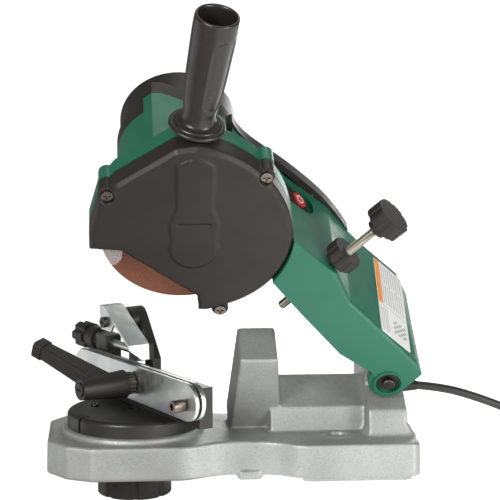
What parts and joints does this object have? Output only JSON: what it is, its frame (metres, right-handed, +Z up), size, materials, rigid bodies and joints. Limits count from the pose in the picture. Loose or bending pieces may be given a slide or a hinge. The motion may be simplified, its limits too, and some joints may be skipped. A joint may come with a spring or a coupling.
{
  "type": "bench saw chain grinder",
  "caption": "Bench-edge saw chain grinder: cast base with a swivelling chain vise and a tilted grinding head that swings down on a sprung hinge against a depth stop.",
  "frame": {"origin": "midway between the two bench bolt holes, on the underside of the feet", "axes": "+X along the base towards the hinge and the cord, +Y away from the operator, +Z up"},
  "size_m": [0.5861, 0.4644, 0.45],
  "materials": {
    "cast": "sand-cast, blasted",
    "green": "satin green",
    "black": "matte black moulding",
    "black_metal": "fine-textured black",
    "zinc": "zinc plated",
    "steel": "bright steel",
    "dark_steel": "black oxide",
    "nickel": "nickel plated",
    "brass": "plain",
    "copper": "commutator bars",
    "abrasive": "vitrified grit",
    "clear": "clear polycarbonate",
    "red": "moulded red",
    "dark_green": "moulded green",
    "white": "printed sheet",
    "cord": "black sheath",
    "carbon": "graphite"
  },
  "bodies": {
    "base": {"base_casting": "cast", "hinge_pin": "dark_steel", "pin_clips": "dark_steel", "return_spring": "dark_steel", "cord_gland": "black", "power_cord": "cord", "cord_coil": "cord", "mains_plug": "black", "plug_blades": "brass", "knob_washer": "steel"},
    "base_knob": {"lock_knob": "black", "knob_insert": "steel"},
    "turntable": {"turntable_disc": "black_metal", "disc_screws": "dark_steel", "jaw_block": "black_metal", "rear_guide_plate": "zinc", "clamp_stud": "zinc", "guide_screws": "nickel", "pivot_bolt": "steel"},
    "front_plate": {"front_guide_plate": "zinc"},
    "lever": {"clamp_lever": "black", "lever_collar": "dark_steel", "lever_screw": "black"},
    "chain_stop": {"chain_stop_carriage": "black_metal", "chain_stop_rod": "zinc", "pawl_screw": "dark_steel"},
    "pawl": {"chain_stop_pawl": "zinc"},
    "adjuster": {"adjuster_knob": "black"},
    "head": {"head_housing": "green", "wheel_cover": "black", "cover_screws": "nickel", "eye_shield": "clear", "shield_screw": "nickel", "side_handle": "black", "handle_bolt": "steel", "motor_cover": "black", "motor_screws": "steel", "arm_rear_cover": "black", "rear_cover_screws": "nickel", "motor_stator": "steel", "brush_holders": "brass", "carbon_brushes": "carbon", "front_bearing": "steel", "rear_bearing": "steel", "switch_body": "black", "arm_label": "white"},
    "spindle": {"motor_armature": "steel", "commutator": "copper", "cooling_fan": "black", "inner_flange": "steel", "grinding_wheel": "abrasive", "outer_flange": "steel", "wheel_nut": "zinc"},
    "start_button": {"on_button": "dark_green"},
    "stop_button": {"off_button": "red"},
    "stop_screw": {"depth_screw": "zinc"},
    "stop_knob": {"depth_knob": "black"},
    "stop_nut": {"depth_lock_nut": "black"}
  },
  "joints": [
    {"name": "head_hinge", "type": "hinge", "parent": "base", "child": "head", "pos_m": [0.0455, 0.00596, 0.10967], "axis": [0, -0.866, -0.5], "range_deg": [0, 18.5], "stiffness_Nm_per_rad": 8, "springref_deg": -91.67, "deforming": ["return_spring"]},
    {"name": "spindle_spin", "type": "hinge", "parent": "head", "child": "spindle", "pos_m": [-0.1405, -0.0783, 0.22961], "axis": [0, 0.866, 0.5], "continuous": true},
    {"name": "turntable_swivel", "type": "hinge", "parent": "base", "child": "turntable", "pos_m": [-0.184, 0, 0.047], "axis": [0, 0, 1], "range_deg": [-65, 5]},
    {"name": "base_knob_turn", "type": "hinge", "parent": "base", "child": "base_knob", "pos_m": [-0.184, 0, -0.012], "axis": [0, 0, 1], "range_deg": [0, 180]},
    {"name": "clamp_lever_turn", "type": "hinge", "parent": "turntable", "child": "lever", "pos_m": [-0.20648, -0.02106, 0.08], "axis": [0.866, 0.5, 0], "range_deg": [0, 35]},
    {"name": "front_plate_slide", "type": "slide", "parent": "turntable", "child": "front_plate", "axis": [-0.866, -0.5, 0], "range_m": [0, 0.001]},
    {"name": "adjuster_turn", "type": "hinge", "parent": "turntable", "child": "adjuster", "pos_m": [-0.22101, 0.0941, 0.103], "axis": [0.5, -0.866, 0], "range_deg": [-1731, 1731]},
    {"name": "chain_stop_slide", "type": "slide", "parent": "turntable", "child": "chain_stop", "axis": [0.5, -0.866, 0], "range_m": [-0.006, 0.006]},
    {"name": "pawl_flip", "type": "hinge", "parent": "chain_stop", "child": "pawl", "pos_m": [-0.2055, 0.03724, 0.1283], "axis": [0.866, 0.5, 0], "range_deg": [-90, 0]},
    {"name": "start_press", "type": "slide", "parent": "head", "child": "start_button", "axis": [-0.7071, 0.3536, -0.6124], "range_m": [0, 0.002], "stiffness_N_per_m": 400, "springref_m": -0.001},
    {"name": "stop_press", "type": "slide", "parent": "head", "child": "stop_button", "axis": [-0.7071, 0.3536, -0.6124], "range_m": [0, 0.002], "stiffness_N_per_m": 400, "springref_m": -0.001},
    {"name": "depth_screw_slide", "type": "slide", "parent": "head", "child": "stop_screw", "axis": [0.682, -0.3657, 0.6334], "range_m": [-0.008, 0.008]},
    {"name": "depth_knob_turn", "type": "hinge", "parent": "stop_screw", "child": "stop_knob", "pos_m": [0.02884, -0.09295, 0.233], "axis": [0.682, -0.3657, 0.6334], "range_deg": [-2307, 2307]},
    {"name": "lock_nut_turn", "type": "hinge", "parent": "head", "child": "stop_nut", "pos_m": [-0.00185, -0.0765, 0.2045], "axis": [0.682, -0.3657, 0.6334], "range_deg": [0, 180]}
  ],
  "couplings": [
    {"joint": "clamp_lever_turn", "follows": "front_plate_slide", "rad_per_m": 610.5},
    {"joint": "adjuster_turn", "follows": "chain_stop_slide", "rad_per_m": 5026.5},
    {"joint": "depth_knob_turn", "follows": "depth_screw_slide", "rad_per_m": 5026.5}
  ]
}
